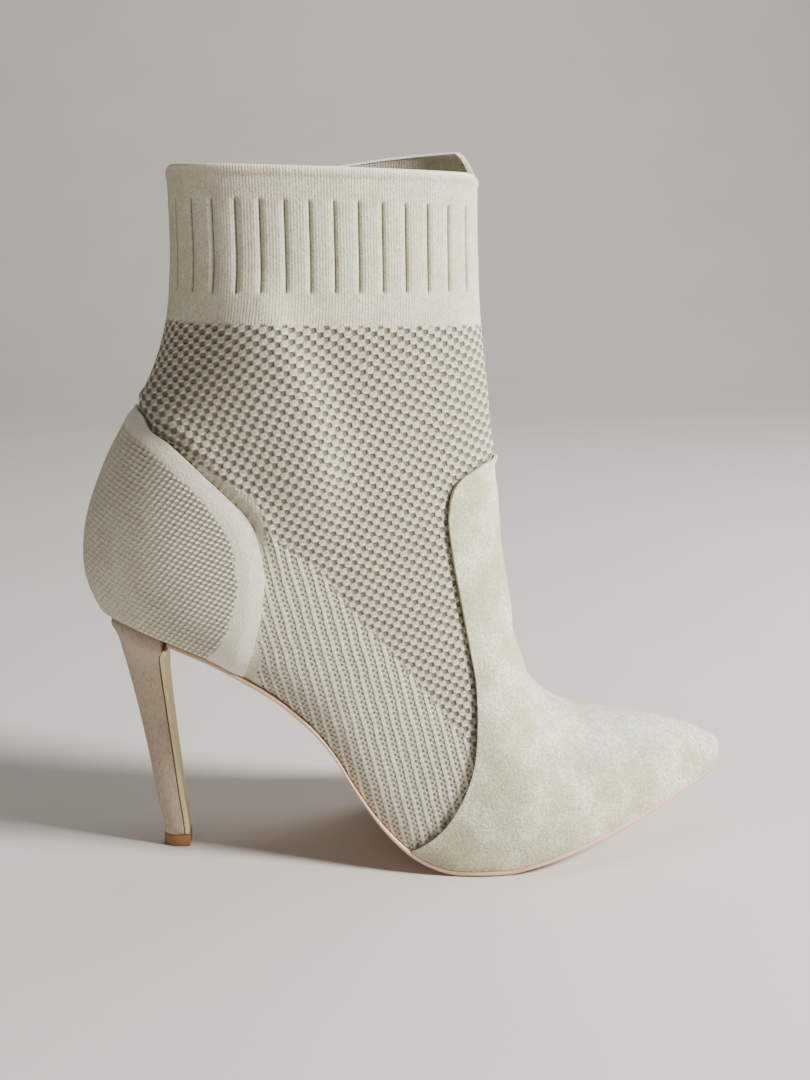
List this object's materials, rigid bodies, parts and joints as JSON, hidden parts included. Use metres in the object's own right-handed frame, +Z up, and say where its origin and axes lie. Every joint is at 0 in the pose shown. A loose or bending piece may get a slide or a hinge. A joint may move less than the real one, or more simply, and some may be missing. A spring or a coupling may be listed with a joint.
{
  "type": "sock boot",
  "caption": "Right-foot heeled sock boot: a knitted sock upper with a ribbed cuff, a pointed toe with a soft vamp, a raised heel counter, a thin sole and a slim covered heel.",
  "frame": {"origin": "on the floor, under the middle of the boot's length and width", "axes": "+X to the toe, +Y to the inner side of the foot, +Z up"},
  "size_m": [0.24, 0.0762, 0.2485],
  "materials": {
    "knit": "knitted mesh, matt, light greige",
    "soft_vamp": "brushed nap, matt, pale grey-green",
    "counter_knit": "fine knit with a plain border, matt",
    "insole": "plain lining, matt",
    "outsole": "smooth, satin",
    "heel_cover": "smooth covering, matt",
    "strip": "smooth, satin, cream",
    "top_piece": "hard, satin, amber brown"
  },
  "bodies": {
    "root": {"knit_upper": "knit", "vamp": "soft_vamp", "heel_counter": "counter_knit", "insole": "insole", "outsole": "outsole", "heel": "heel_cover", "heel_breast_strip": "strip", "top_piece": "top_piece"}
  },
  "joints": []
}
